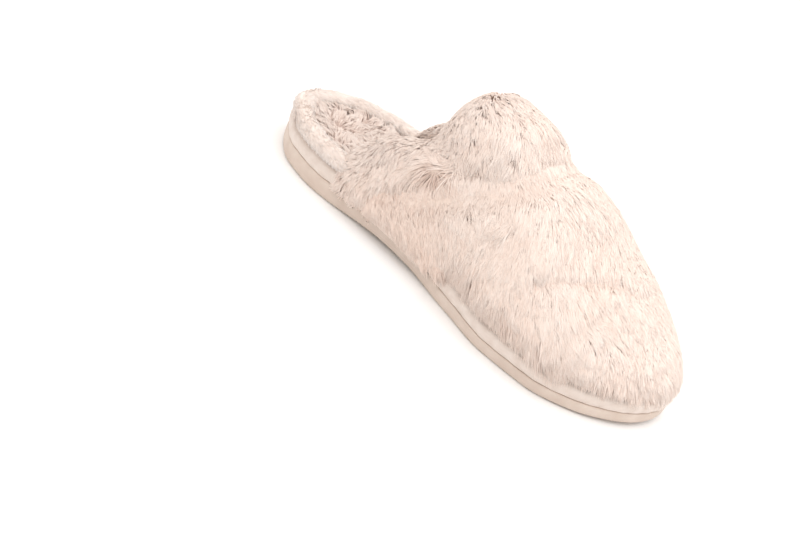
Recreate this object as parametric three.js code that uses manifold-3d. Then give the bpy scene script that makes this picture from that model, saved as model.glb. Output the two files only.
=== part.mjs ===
// Left slipper in deep faux fur: closed toe, open heel and a flat two-layer sole.
// Millimetres. +X runs from heel to toe, +Y to the wearer's outer side, +Z up.
// The shoe stands on z = 0, and the origin lies under the middle of its box.
import * as THREE from "three";
import { mergeVertices } from "three/addons/utils/BufferGeometryUtils.js";
import Module from "manifold-3d";

const wasm = await Module();
wasm.setup();

// Sole
const SOLE_LENGTH = 257;
const HEEL_WIDTH = 76;
const BALL_WIDTH = 108;
const TOE_SWING = 2;
const ARCH_LIFT = 2;
const TOE_SPRING = 2.5;
const OUTSOLE_HEEL = 10;
const OUTSOLE_TOE = 6.2;
const MIDSOLE_HEIGHT = 8.2;
const EDGE_ROUND = 2.2;
const PLUSH_BULGE = 1;

// Inside and heel
const FOOTBED_HEIGHT = 3.4;
const HEEL_DISH = 1.4;
const RIM_WIDTH = 10.4;
const RIM_HEIGHT = 8;

// Upper and fur
const INSTEP_HEIGHT = 64;
const RIDGE_SWING = 5;
const HEM_INSET = 8;
const UPPER_WALL = 2.6;
const VAMP_PILE = 12;
const CUFF_PILE = 13;
const CUFF_REACH = 36;
const CUFF_BACK = 13;
const CUFF_INSIDE = 5;
const CUFF_TURN_IN = 16;
const FRINGE = 3;
const LOCK_LENGTH = 26;
const LOCK_WIDTH = 6;
const LOCK_HEIGHT = 2.2;
const LOCK_ROOT = 3;
const LOCK_ROWS = 6;
const LOCKS_IN_ROW = 6;
const HEM_LOCKS = 7;
const CUFF_LOCKS = 13;
const WAIST_END = 0.47;
const GAP = 0.3;

// Half widths of the sole on its outer and inner side, as shares of the local width, which turns
// from the heel width (ball 0) to the ball width (ball 1)
const OUTLINE = [
  { at: 0, ball: 0, outer: 0, inner: 0 },
  { at: 0.03, ball: 0, outer: 0.23, inner: 0.23 },
  { at: 0.1, ball: 0, outer: 0.42, inner: 0.42 },
  { at: 0.2, ball: 0, outer: 0.5, inner: 0.493 },
  { at: 0.32, ball: 0.25, outer: 0.47, inner: 0.433 },
  { at: 0.45, ball: 0.5, outer: 0.471, inner: 0.413 },
  { at: 0.58, ball: 0.8, outer: 0.497, inner: 0.454 },
  { at: 0.7, ball: 1, outer: 0.508, inner: 0.493 },
  { at: 0.8, ball: 1, outer: 0.488, inner: 0.483 },
  { at: 0.89, ball: 1, outer: 0.384, inner: 0.4 },
  { at: 0.95, ball: 1, outer: 0.255, inner: 0.28 },
  { at: 0.985, ball: 1, outer: 0.135, inner: 0.16 },
  { at: 1, ball: 1, outer: 0, inner: 0 },
];

// Side profile of the upper: height of its ridge over the platform as a share of the instep height,
// depth of the fur as a share of the vamp pile, and how far the fur hangs over the midsole's side
const RIDGE = [
  { at: 0, height: 1, pile: 0.9, hang: 1 },
  { at: 0.43, height: 1, pile: 0.95, hang: 1 },
  { at: 0.49, height: 0.98, pile: 0.98, hang: 0.75 },
  { at: 0.57, height: 0.902, pile: 1, hang: 0 },
  { at: 0.67, height: 0.745, pile: 1, hang: 0 },
  { at: 0.765, height: 0.525, pile: 0.95, hang: 0 },
  { at: 0.823, height: 0.4, pile: 0.88, hang: 0 },
  { at: 0.867, height: 0.325, pile: 0.82, hang: 0 },
  { at: 0.9, height: 0.26, pile: 0.78, hang: 0 },
  { at: 0.945, height: 0.165, pile: 0.75, hang: 0 },
  { at: 0.98, height: 0.085, pile: 0.72, hang: 0 },
  { at: 1, height: 0, pile: 0.72, hang: 0 },
];

// Topline from the hem (round 0) up to the ridge (round 1): its place along the sole, and the body
// of the cuff there, which has a wing at the hem, a crease and a high lobe on the ridge
const TOPLINE = [
  { round: 0, at: 0.24, body: 0.72, front: 0.78 },
  { round: 0.08, at: 0.254, body: 0.82, front: 0.8 },
  { round: 0.19, at: 0.283, body: 0.88, front: 0.86 },
  { round: 0.31, at: 0.328, body: 0.82, front: 0.9 },
  { round: 0.44, at: 0.384, body: 0.58, front: 0.78 },
  { round: 0.58, at: 0.405, body: 0.86, front: 0.92 },
  { round: 0.78, at: 0.418, body: 1, front: 1 },
  { round: 1, at: 0.424, body: 1, front: 1 },
];

// Edge of a sole layer from its lower to its upper face: share of its height, and inset as a share
// of the edge round
const OUTSOLE_EDGE = [
  { up: 0, inset: 0.45 },
  { up: 0.2, inset: 0.12 },
  { up: 0.5, inset: 0 },
  { up: 0.92, inset: 0 },
  { up: 1, inset: 0.25 },
];
const MIDSOLE_EDGE = [
  { up: 0, inset: 0.7 },
  { up: 0.22, inset: 0 },
  { up: 0.58, inset: -0.2 },
  { up: 0.86, inset: 0.4 },
  { up: 1, inset: 1.3 },
];
const FOOTBED_EDGE = [
  { up: 0, inset: 0 },
  { up: 0.55, inset: 0 },
  { up: 1, inset: 0.9 },
];

// Section of the rim roll: place inward from the sole's edge as a share of its width, and height
// as a share of its height
const RIM_SECTION = [
  { inward: 0.08, up: 0 },
  { inward: -0.12, up: 0.26 },
  { inward: -0.14, up: 0.56 },
  { inward: 0.02, up: 0.86 },
  { inward: 0.32, up: 1 },
  { inward: 0.66, up: 0.95 },
  { inward: 0.9, up: 0.7 },
  { inward: 0.985, up: 0.34 },
  { inward: 0.985, up: 0 },
];

// Meshing: steps along half the sole, over the shell and round the topline
const SOLE_STEPS = 34;
const SHELL_STEPS = 16;
const ROUND_STEPS = 24;
const RIM_STEPS = 13;

const clamp = THREE.MathUtils.clamp;
const lerp = THREE.MathUtils.lerp;
const ease = THREE.MathUtils.smoothstep;
const angleAt = (share) => Math.acos(1 - 2 * clamp(share, 0, 1));
const shareAt = (angle) => (1 - Math.cos(angle)) / 2;

// A smooth curve through the rows of a table that never overshoots them
function smooth(places, values) {
  const last = places.length - 1;
  const rise = (i) => (values[i + 1] - values[i]) / (places[i + 1] - places[i]);
  const slopes = values.map((value, i) => {
    if (i === 0 || i === last) {
      return rise(i === 0 ? 0 : last - 1);
    }
    const before = rise(i - 1);
    const after = rise(i);
    return before * after <= 0 ? 0 : (2 * before * after) / (before + after);
  });
  return (place) => {
    const i = clamp(places.findIndex((p) => p > place) - 1, 0, last - 1);
    const k = place >= places[last] ? last - 1 : i;
    const step = places[k + 1] - places[k];
    const t = clamp((place - places[k]) / step, 0, 1);
    const bend0 = slopes[k] * step;
    const bend1 = slopes[k + 1] * step;
    const drop = values[k] - values[k + 1];
    return values[k] + t * (bend0 + t * (-3 * drop - 2 * bend0 - bend1 + t * (2 * drop + bend0 + bend1)));
  };
}

const column = (rows, name) => smooth(rows.map((row) => angleAt(row.at)), rows.map((row) => row[name]));
const localWidth = (row) => lerp(HEEL_WIDTH, BALL_WIDTH, row.ball);
const outlineAngles = OUTLINE.map((row) => angleAt(row.at));
const outerHalf = smooth(outlineAngles, OUTLINE.map((row) => row.outer * localWidth(row)));
const innerHalf = smooth(outlineAngles, OUTLINE.map((row) => row.inner * localWidth(row)));
const ridgeHeight = column(RIDGE, "height");
const ridgePile = column(RIDGE, "pile");
const hangAt = column(RIDGE, "hang");
const toplineColumn = (name) => smooth(TOPLINE.map((row) => row.round), TOPLINE.map((row) => row[name]));
const toplinePlace = toplineColumn("at");
const cuffBody = toplineColumn("body");
const cuffFront = toplineColumn("front");

// Heights along the sole
const soleShare = (x) => clamp(x / SOLE_LENGTH, 0, 1);
const archShape = (share) => Math.cos(clamp((share - 0.38) / 0.17, -1, 1) * Math.PI / 2) ** 2;
const bottomAt = (x) => ARCH_LIFT * archShape(soleShare(x))
  + TOE_SPRING * clamp((soleShare(x) - 0.78) / 0.22, 0, 1) ** 2;
const outsoleTop = (x) => bottomAt(x) + lerp(OUTSOLE_HEEL, OUTSOLE_TOE, ease(soleShare(x), 0.22, 0.72));
const midsoleBase = (x) => outsoleTop(x) + GAP;
const platformAt = (x) => midsoleBase(x) + MIDSOLE_HEIGHT;
const seatAt = (x) => platformAt(x) + GAP;

// Sole edge at an angle along it (0 heel, pi toe), on the outer (1) or inner (-1) side
function edgePoint(angle, side) {
  const half = side > 0 ? outerHalf(angle) : innerHalf(angle);
  const swing = TOE_SWING * clamp((shareAt(angle) - 0.55) / 0.45, 0, 1) ** 2;
  return new THREE.Vector2(SOLE_LENGTH * shareAt(angle), side * half - swing);
}

function insetPoint(angle, side, inset) {
  const point = edgePoint(angle, side);
  const step = 0.004;
  const from = edgePoint(Math.max(angle - step, 0), side);
  const to = edgePoint(Math.min(angle + step, Math.PI), side);
  const along = to.sub(from);
  const outward = new THREE.Vector2(-side * along.y, side * along.x).normalize();
  if (angle <= 0 || angle >= Math.PI) {
    outward.set(angle <= 0 ? -1 : 1, 0);
  }
  return point.addScaledVector(outward, -inset);
}

// The upper's outer face over a flat platform: an arch from the outer hem (round 0) to the inner
// hem (round 1)
function archPoint(angle, round) {
  const outer = insetPoint(angle, 1, HEM_INSET);
  const inner = insetPoint(angle, -1, HEM_INSET);
  const turn = Math.PI * round;
  const across = Math.cos(turn);
  const rise = Math.sin(turn);
  const x = lerp(inner.x, outer.x, (across + 1) / 2);
  const y = lerp(inner.y, outer.y, (across + 1) / 2) - RIDGE_SWING * rise ** 2 * ridgeHeight(angle);
  return new THREE.Vector3(x, y, INSTEP_HEIGHT * ridgeHeight(angle) * rise);
}

function shellFrame(angle, round) {
  const step = 0.01;
  const low = Math.min(angle, Math.PI - 0.03);
  const along = archPoint(low + step, round).sub(archPoint(low - step, round));
  const across = archPoint(low, clamp(round + step, 0, 1)).sub(archPoint(low, clamp(round - step, 0, 1)));
  const normal = new THREE.Vector3().crossVectors(across, along);
  if (round <= 0 || round >= 1) {
    normal.z = 0;
  }
  normal.normalize();
  if (angle >= Math.PI) {
    normal.set(1, 0, 0);
  }
  return { along, across, normal, step };
}

// A point that stands off the upper's outer face, set on the platform's own slope
function offShell(angle, round, offset) {
  const point = archPoint(angle, round).addScaledVector(shellFrame(angle, round).normal, offset);
  point.z += seatAt(point.x);
  return point;
}

const fromHem = (round) => 1 - Math.abs(1 - 2 * round);
const toplineX = (round) => SOLE_LENGTH * toplinePlace(fromHem(round));
const angleOfX = (x) => angleAt(x / SOLE_LENGTH);
const cuffFrontX = (round) => toplineX(round) + CUFF_REACH * cuffFront(fromHem(round));

// Depth of fur at a hem that hangs over the midsole's side
const HANG_DEPTH = HEM_INSET + PLUSH_BULGE + GAP + FRINGE;

// Depth of the vamp's fur: thinner at its hem where it doesn't hang, and where it tucks in beside
// the cuff
function vampPile(angle, round) {
  const full = VAMP_PILE * ridgePile(angle);
  const toe = ease(angle, Math.PI - 0.5, Math.PI);
  const behind = SOLE_LENGTH * shareAt(angle) - cuffFrontX(round);
  const neck = lerp(0.62, 1, ease(behind, 0, 16));
  const tufts = 0.07 * Math.sin(9 * angle + 14 * round) * Math.cos(5 * angle - 17 * round);
  const hem = lerp(lerp(0.55, 0.9, toe) * full, HANG_DEPTH, hangAt(angle));
  const body = lerp(full * neck * (1 + tufts * (1 - toe)), 0.9 * full, toe);
  return lerp(hem, body, ease(fromHem(round), 0, 0.22));
}

// A hem's lower edge where the fur hangs: how far it drops, and its depth there
function hemDrop(angle, offset) {
  const hang = hangAt(angle);
  const depth = Math.min(offset, HANG_DEPTH - FRINGE / 2);
  return { drop: 0.95 * MIDSOLE_HEIGHT * hang, offset: lerp(offset, depth, Math.min(1, 4 * hang)) };
}

function droppedHem(angle, side, offset, hem) {
  const { drop, offset: depth } = hem(angle, offset);
  const point = insetPoint(angle, side, HEM_INSET - depth);
  return new THREE.Vector3(point.x, point.y, seatAt(point.x) - drop);
}

// Closed meshes are gathered as triangles, and corners that coincide are merged
class Soup {
  constructor() {
    this.values = [];
  }

  triangle(a, b, c) {
    for (const point of [a, b, c]) {
      this.values.push(point.x, point.y, point.z);
    }
  }

  // A grid of points, its cells split into triangles
  grid(rows) {
    for (let i = 0; i + 1 < rows.length; i += 1) {
      for (let j = 0; j + 1 < rows[i].length; j += 1) {
        this.triangle(rows[i][j], rows[i + 1][j], rows[i + 1][j + 1]);
        this.triangle(rows[i][j], rows[i + 1][j + 1], rows[i][j + 1]);
      }
    }
  }

  solid() {
    const raw = new THREE.BufferGeometry();
    raw.setAttribute("position", new THREE.Float32BufferAttribute(this.values, 3));
    const merged = mergeVertices(raw, 1e-3);
    const corners = merged.index.array;
    const points = merged.attributes.position.array;
    const kept = [];
    let volume = 0;
    for (let i = 0; i < corners.length; i += 3) {
      const [a, b, c] = [corners[i], corners[i + 1], corners[i + 2]];
      if (a !== b && b !== c && a !== c) {
        kept.push(a, b, c);
        const [pa, pb, pc] = [a, b, c].map((n) => new THREE.Vector3().fromArray(points, 3 * n));
        volume += pa.dot(pb.cross(pc));
      }
    }
    if (volume < 0) {
      kept.reverse();
    }
    const mesh = new wasm.Mesh({
      numProp: 3,
      vertProperties: Float32Array.from(points),
      triVerts: Uint32Array.from(kept),
    });
    return new wasm.Manifold(mesh);
  }
}

// A layer with the sole's outline: edge rows give its side, and crown lifts its upper face
function soleLayer(edge, unit, inset, lowAt, highAt, crown) {
  const soup = new Soup();
  const angles = Array.from({ length: SOLE_STEPS + 1 }, (_, i) => Math.PI * i / SOLE_STEPS);
  const ring = (row, side) => angles.map((angle) => {
    const point = insetPoint(angle, side, inset + row.inset * unit);
    return new THREE.Vector3(point.x, point.y, lerp(lowAt(point.x), highAt(point.x), row.up));
  });
  for (const side of [1, -1]) {
    const rings = edge.map((row) => ring(row, side));
    soup.grid(side > 0 ? rings : rings.map((points) => [...points].reverse()));
  }
  const cap = (row, steps, lift) => {
    const outer = ring(row, 1);
    const inner = ring(row, -1);
    return angles.map((angle, i) => Array.from({ length: steps + 1 }, (_, k) => {
      const point = outer[i].clone().lerp(inner[i], k / steps);
      point.z += lift(angle, 1 - Math.abs(1 - 2 * k / steps));
      return point;
    }));
  };
  soup.grid(cap(edge[0], 1, () => 0));
  const top = cap(edge[edge.length - 1], crown ? 4 : 1, crown || (() => 0));
  soup.grid(top.map((row) => [...row].reverse()));
  return soup.solid();
}

const makeOutsole = () => soleLayer(OUTSOLE_EDGE, EDGE_ROUND, 0, bottomAt, outsoleTop);
const makeMidsole = () => soleLayer(MIDSOLE_EDGE, EDGE_ROUND, -PLUSH_BULGE / 2, midsoleBase, platformAt);

// Room that fur keeps free: the sole's own space and a gap round it
function soleRoom() {
  const edge = [{ up: 0, inset: 0 }, { up: 1, inset: 0 }];
  return soleLayer(edge, 1, -PLUSH_BULGE - GAP, () => -GAP, (x) => seatAt(x) - GAP / 10);
}

// A sheet of the upper's own function between two offsets, from a back edge to the toe. Where a
// hem is given, both of the sheet's sides go on straight down by its drop.
function shellSheet(backX, innerOffset, outerOffset, hem) {
  const soup = new Soup();
  const layer = (offsetAt) => Array.from({ length: SHELL_STEPS + 1 }, (_, i) => {
    const angles = Array.from({ length: ROUND_STEPS + 1 }, (__, j) => {
      return lerp(angleOfX(backX(j / ROUND_STEPS)), Math.PI, i / SHELL_STEPS);
    });
    const row = angles.map((angle, j) => {
      const round = j / ROUND_STEPS;
      return offShell(angle, round, offsetAt(angle, round));
    });
    if (hem) {
      row.unshift(droppedHem(angles[0], 1, offsetAt(angles[0], 0), hem));
      row.push(droppedHem(angles[ROUND_STEPS], -1, offsetAt(angles[ROUND_STEPS], 1), hem));
    }
    return row;
  });
  const outer = layer(outerOffset);
  const inner = layer(innerOffset);
  const side = (rows, j) => rows.map((row) => row.at(j));
  soup.grid(outer);
  soup.grid(inner.map((row) => [...row].reverse()));
  soup.grid([inner[0], outer[0]]);
  soup.grid([side(outer, 0), side(inner, 0)]);
  soup.grid([side(inner, -1), side(outer, -1)]);
  return soup.solid();
}

const makeUpper = () => shellSheet(toplineX, () => -UPPER_WALL, () => 0);

// The space that the upper fills, with a gap round it, that the fur is cut to
function upperRoom() {
  const back = (round) => toplineX(round) - GAP;
  const down = (angle, offset) => ({ drop: MIDSOLE_HEIGHT + GAP, offset });
  return shellSheet(back, () => -UPPER_WALL - GAP, () => GAP, down);
}

// All the space round the upper that lies in front of the cuff's front edge
function beyondCuff(clear) {
  const back = (round) => cuffFrontX(round) + clear;
  const down = (angle, offset) => ({ drop: 2 * MIDSOLE_HEIGHT, offset });
  return shellSheet(back, () => -UPPER_WALL, () => 2 * HANG_DEPTH, down);
}

// The room under the upper's inner face, closed at the back, that the footbed is cut to
function footRoom() {
  const soup = new Soup();
  const start = angleAt(0.004);
  const rows = Array.from({ length: SHELL_STEPS + 1 }, (_, i) => {
    const angle = lerp(start, Math.PI, i / SHELL_STEPS);
    return Array.from({ length: ROUND_STEPS + 1 }, (__, j) => {
      const point = offShell(angle, j / ROUND_STEPS, -UPPER_WALL - GAP);
      point.z = j === 0 || j === ROUND_STEPS ? 0 : point.z;
      return point;
    });
  });
  soup.grid(rows);
  const middle = rows[0][0].clone().lerp(rows[0][ROUND_STEPS], 0.5);
  for (let j = 0; j < ROUND_STEPS; j += 1) {
    soup.triangle(middle, rows[0][j], rows[0][j + 1]);
  }
  soup.triangle(middle, rows[0][ROUND_STEPS], rows[0][0]);
  soup.grid([rows.map((row) => row[0]), rows.map((row) => row[ROUND_STEPS])]);
  return soup.solid();
}

function footbedSlab(clear) {
  const inset = HEM_INSET + UPPER_WALL + GAP - clear;
  const dish = (angle, middle) => -HEEL_DISH * Math.sin(middle * Math.PI / 2)
    * ease(shareAt(angle), 0.02, 0.1) * (1 - 0.7 * ease(shareAt(angle), 0.25, 0.5));
  const low = (x) => seatAt(x) - clear;
  const high = (x) => seatAt(x) + FOOTBED_HEIGHT + clear;
  return soleLayer(FOOTBED_EDGE, EDGE_ROUND, inset, low, high, dish);
}

const makeFootbed = () => footbedSlab(0).intersect(footRoom());

// Plush roll round the heel seat, from the back of one wing to the back of the other
function makeHeelRim() {
  const soup = new Soup();
  const end = angleOfX(toplineX(0) - CUFF_BACK * cuffBody(0) - 2 * GAP);
  const rings = [];
  for (let i = -RIM_STEPS; i <= RIM_STEPS; i += 1) {
    const angle = end * Math.abs(i) / RIM_STEPS;
    const swell = lerp(0.86, 1, ease(Math.abs(i) / RIM_STEPS, 0, 0.6)) * (1 + 0.03 * Math.sin(2.1 * i));
    rings.push(RIM_SECTION.map((row) => {
      const point = insetPoint(angle, i < 0 ? -1 : 1, row.inward * RIM_WIDTH);
      return new THREE.Vector3(point.x, point.y, seatAt(point.x) + row.up * RIM_HEIGHT * swell);
    }));
  }
  const closed = rings.map((ring) => [...ring, ring[0]]);
  soup.grid(closed);
  for (let k = 1; k + 1 < RIM_SECTION.length; k += 1) {
    soup.triangle(rings[0][0], rings[0][k], rings[0][k + 1]);
    soup.triangle(rings[2 * RIM_STEPS][0], rings[2 * RIM_STEPS][k + 1], rings[2 * RIM_STEPS][k]);
  }
  return soup.solid();
}

// A lock of fur: a bent, tapered tuft with its root sunk in the pile
function lock(root, middle, tip, across, size) {
  const soup = new Soup();
  const lay = tip.clone().sub(root).normalize();
  const side = across.clone().addScaledVector(lay, -across.dot(lay)).normalize();
  const lift = new THREE.Vector3().crossVectors(side, lay).normalize();
  const ring = (centre, width) => [
    centre.clone().addScaledVector(side, width).addScaledVector(lift, -LOCK_HEIGHT / 2),
    centre.clone().addScaledVector(lift, LOCK_HEIGHT),
    centre.clone().addScaledVector(side, -width).addScaledVector(lift, -LOCK_HEIGHT / 2),
  ];
  const back = ring(root, 0.7 * size * LOCK_WIDTH);
  const front = ring(middle, size * LOCK_WIDTH);
  soup.grid([[...back, back[0]], [...front, front[0]], [tip, tip, tip, tip]]);
  soup.triangle(back[0], back[1], back[2]);
  return soup.solid();
}

// The one body of a cut solid: air pockets that locks close off are filled, and crumbs fall away
function wholeBody(solid) {
  const bodies = solid.decompose();
  return bodies.reduce((best, body) => (body.volume() > best.volume() ? body : best));
}

// A lock that lies on the fur, its tip forward and down towards the hem by the given slant
function lyingLock(angle, round, pileAt, length, slant, size) {
  const frame = shellFrame(angle, round);
  const towardHem = round < 0.5 ? -1 : 1;
  const stepAlong = length * Math.cos(slant) * 2 * frame.step / frame.along.length();
  const stepDown = towardHem * length * Math.sin(slant) * 2 * frame.step / frame.across.length();
  const place = (share, rise) => {
    const a = Math.min(angle + share * stepAlong, Math.PI - 0.02);
    const r = clamp(round + share * stepDown, 0.02, 0.98);
    return offShell(a, r, pileAt(a, r) + rise);
  };
  const middle = place(0.5, LOCK_HEIGHT / 4);
  return lock(place(0, -LOCK_ROOT), middle, place(1, LOCK_HEIGHT / 2), frame.across, size);
}

// A lock that hangs from the belly of the fur over the sole's side
function hangingLock(angle, round, pileAt, size) {
  const root = offShell(angle, round, pileAt(angle, round) - LOCK_ROOT);
  const side = round < 0.5 ? 1 : -1;
  const foot = outsoleTop(root.x) + LOCK_HEIGHT;
  const clear = PLUSH_BULGE + 3 * GAP;
  const belly = insetPoint(angle, side, -clear - 1.4 * LOCK_HEIGHT);
  const end = insetPoint(angle + 0.01, side, -clear);
  const middle = new THREE.Vector3(belly.x, belly.y, lerp(root.z, foot, 0.5));
  const tip = new THREE.Vector3(end.x, end.y, foot);
  const along = new THREE.Vector3(-side, 0, 0);
  return lock(root, middle, tip, along, size);
}

// Rows of lying locks over the vamp, staggered, then the locks along its hem
function makeVampFur() {
  const back = (round) => cuffFrontX(round) - LOCK_ROOT;
  let fur = shellSheet(back, () => -UPPER_WALL / 2, vampPile, hemDrop);
  for (let i = 0; i < LOCK_ROWS; i += 1) {
    const count = i < LOCK_ROWS - 2 ? LOCKS_IN_ROW : LOCKS_IN_ROW - 1;
    for (let j = 0; j < count; j += 1) {
      const round = (j + (i % 2 ? 0.75 : 0.25)) / count;
      const from = angleOfX(back(round) + 2 * LOCK_WIDTH);
      const angle = lerp(from, Math.PI - 0.3, (i + 0.25 * Math.sin(3 * j + i)) / LOCK_ROWS + 0.04);
      const slant = 0.9 * Math.abs(Math.cos(Math.PI * round));
      const size = 1 + 0.25 * Math.sin(5 * i + 2.3 * j);
      fur = fur.add(lyingLock(angle, round, vampPile, LOCK_LENGTH * size, slant, size));
    }
  }
  for (const side of [0, 1]) {
    for (let i = 0; i < HEM_LOCKS; i += 1) {
      const round = side ? 0.93 : 0.07;
      const from = angleOfX(back(round) + 2 * LOCK_WIDTH);
      const angle = lerp(from, Math.PI - 0.3, (i + 0.5) / HEM_LOCKS);
      const waist = shareAt(angle) < WAIST_END;
      const size = 1 + 0.2 * Math.sin(4.1 * i);
      fur = fur.add(waist
        ? hangingLock(angle, round, vampPile, size)
        : lyingLock(angle, round, vampPile, 0.6 * LOCK_LENGTH * size, 0.4, 0.7 * size));
    }
  }
  const trimmed = fur.intersect(beyondCuff(2 * GAP)).subtract(upperRoom());
  return wholeBody(trimmed.subtract(soleRoom()));
}

// Section of the cuff before the upper's room is cut out of it: it hooks over the topline, deep
// outside and shallow inside. Each corner has its place along the shoe from the topline, and its
// offset from the upper's outer face.
function cuffSection(round) {
  const body = cuffBody(fromHem(round));
  const reach = CUFF_REACH * cuffFront(fromHem(round));
  const pile = lerp(HANG_DEPTH, CUFF_PILE * body, ease(fromHem(round), 0, 0.2));
  const back = CUFF_BACK * body;
  const inner = -UPPER_WALL - CUFF_INSIDE;
  return [
    { along: reach + LOCK_ROOT, offset: -UPPER_WALL / 2 },
    { along: reach + LOCK_ROOT, offset: 0.5 * pile },
    { along: 0.84 * reach, offset: 0.86 * pile },
    { along: 0.5 * reach, offset: pile },
    { along: 0.12 * reach, offset: 0.93 * pile },
    { along: -0.5 * back, offset: 0.66 * pile },
    { along: -0.92 * back, offset: 0.25 * pile },
    { along: -back, offset: -UPPER_WALL / 2 },
    { along: -0.6 * back, offset: inner },
    { along: CUFF_TURN_IN, offset: inner },
    { along: CUFF_TURN_IN, offset: -UPPER_WALL / 2 },
  ];
}

function cuffPile(angle, round) {
  const section = cuffSection(round);
  const along = SOLE_LENGTH * shareAt(angle) - toplineX(round);
  const outer = section.slice(1, 8).reverse();
  const spots = outer.map((corner) => corner.along + 1e-3 * corner.offset);
  return smooth(spots, outer.map((corner) => corner.offset))(along);
}

function cuffBand() {
  const soup = new Soup();
  const cornerAngle = (round, corner) => angleOfX(Math.max(toplineX(round) + corner.along, 1));
  const rings = Array.from({ length: ROUND_STEPS + 1 }, (_, j) => {
    const round = j / ROUND_STEPS;
    return cuffSection(round).map((corner) => {
      return offShell(cornerAngle(round, corner), round, corner.offset);
    });
  });
  const dropped = (round, side) => cuffSection(round).map((corner) => {
    return droppedHem(cornerAngle(round, corner), side, corner.offset, hemDrop);
  });
  rings.unshift(dropped(0, 1));
  rings.push(dropped(1, -1));
  soup.grid(rings.map((ring) => [...ring, ring[0]]));
  for (const [round, ring] of [[0, rings[0]], [1, rings.at(-1)]]) {
    const flat = cuffSection(round).map((corner) => new THREE.Vector2(corner.along, corner.offset));
    for (const face of THREE.ShapeUtils.triangulateShape(flat, [])) {
      const left = THREE.ShapeUtils.area(face.map((n) => flat[n])) > 0;
      const [a, b, c] = left === (round === 0) ? face : [...face].reverse();
      soup.triangle(ring[a], ring[b], ring[c]);
    }
  }
  return soup.solid();
}

// Locks on the cuff: a row that stands back off its roll, a row that lies forward, and hanging ones
function makeCollarCuff() {
  let cuff = cuffBand();
  for (let j = 0; j < CUFF_LOCKS; j += 1) {
    const round = 0.06 + 0.88 * j / (CUFF_LOCKS - 1);
    const size = 1 + 0.22 * Math.sin(3.7 * j);
    const forward = angleOfX(toplineX(round) + 0.1 * CUFF_REACH);
    cuff = cuff.add(lyingLock(forward, round, cuffPile, 0.6 * LOCK_LENGTH * size, 0.2, size));
    const crown = angleOfX(toplineX(round) + 0.06 * CUFF_REACH);
    cuff = cuff.add(lyingLock(crown, round, cuffPile, -0.42 * LOCK_LENGTH * size, 0, 0.7 * size));
  }
  for (const round of [0.05, 0.95]) {
    for (let i = 0; i < 3; i += 1) {
      const angle = angleOfX(toplineX(round) + (0.1 + 0.28 * i) * CUFF_REACH);
      cuff = cuff.add(hangingLock(angle, round, cuffPile, 1));
    }
  }
  const trimmed = cuff.subtract(beyondCuff(0)).subtract(upperRoom());
  return wholeBody(trimmed.subtract(soleRoom()).subtract(footbedSlab(GAP)));
}

// Finished pieces
function finish(name, solid, colour, roughness) {
  const result = solid.getMesh();
  const geometry = new THREE.BufferGeometry();
  geometry.setAttribute("position", new THREE.BufferAttribute(result.vertProperties, 3));
  geometry.setIndex(new THREE.BufferAttribute(result.triVerts, 1));
  geometry.computeVertexNormals();
  const material = new THREE.MeshStandardMaterial({ color: colour, roughness, metalness: 0 });
  const mesh = new THREE.Mesh(geometry, material);
  mesh.name = name;
  return mesh;
}

const group = new THREE.Group();
group.add(
  finish("outsole", makeOutsole(), 0xd9c6b6, 0.7),
  finish("midsole", makeMidsole(), 0xeaddd4, 0.95),
  finish("footbed", makeFootbed(), 0xe2cfc2, 1),
  finish("heel_rim", makeHeelRim(), 0xf1e4dc, 1),
  finish("upper", makeUpper(), 0xe6d6ca, 0.95),
  finish("vamp_fur", makeVampFur(), 0xf0e1d7, 1),
  finish("collar_cuff", makeCollarCuff(), 0xf3e6dd, 1),
);
const box = new THREE.Box3().setFromObject(group);
group.position.set(-(box.min.x + box.max.x) / 2, -(box.min.y + box.max.y) / 2, -box.min.z);

export default group;
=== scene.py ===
"""Looks of the faux fur slipper: smooth soft pieces, mesh fur, materials, light and camera."""

import bmesh
import bpy
import numpy as np
from mathutils import Matrix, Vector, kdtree


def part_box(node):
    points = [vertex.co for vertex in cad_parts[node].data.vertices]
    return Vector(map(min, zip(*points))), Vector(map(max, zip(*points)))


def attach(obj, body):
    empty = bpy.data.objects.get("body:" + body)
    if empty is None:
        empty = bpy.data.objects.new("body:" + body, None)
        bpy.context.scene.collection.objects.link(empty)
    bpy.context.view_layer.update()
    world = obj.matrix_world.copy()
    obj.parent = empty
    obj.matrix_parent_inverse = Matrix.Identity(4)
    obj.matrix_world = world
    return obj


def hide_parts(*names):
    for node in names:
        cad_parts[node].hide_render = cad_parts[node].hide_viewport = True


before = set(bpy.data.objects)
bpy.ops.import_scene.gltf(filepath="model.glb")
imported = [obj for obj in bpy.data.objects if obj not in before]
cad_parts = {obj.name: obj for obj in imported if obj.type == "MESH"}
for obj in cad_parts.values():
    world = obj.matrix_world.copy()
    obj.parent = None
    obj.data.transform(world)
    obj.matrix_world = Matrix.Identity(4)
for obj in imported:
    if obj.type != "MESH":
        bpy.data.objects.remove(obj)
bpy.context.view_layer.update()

# Camera of the photograph, in the row frame (metres): place, the view's own axes and focal length
CAMERA_PLACE = (0.3288, -0.7447, 0.4498)
CAMERA_RIGHT = (0.7126, 0.5894, 0.3806)
CAMERA_DOWN = (0.5904, -0.2105, -0.7792)
CAMERA_FORWARD = (-0.3791, 0.78, -0.498)
CAMERA_LENS = 81
SENSOR_WIDTH = 36

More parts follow.
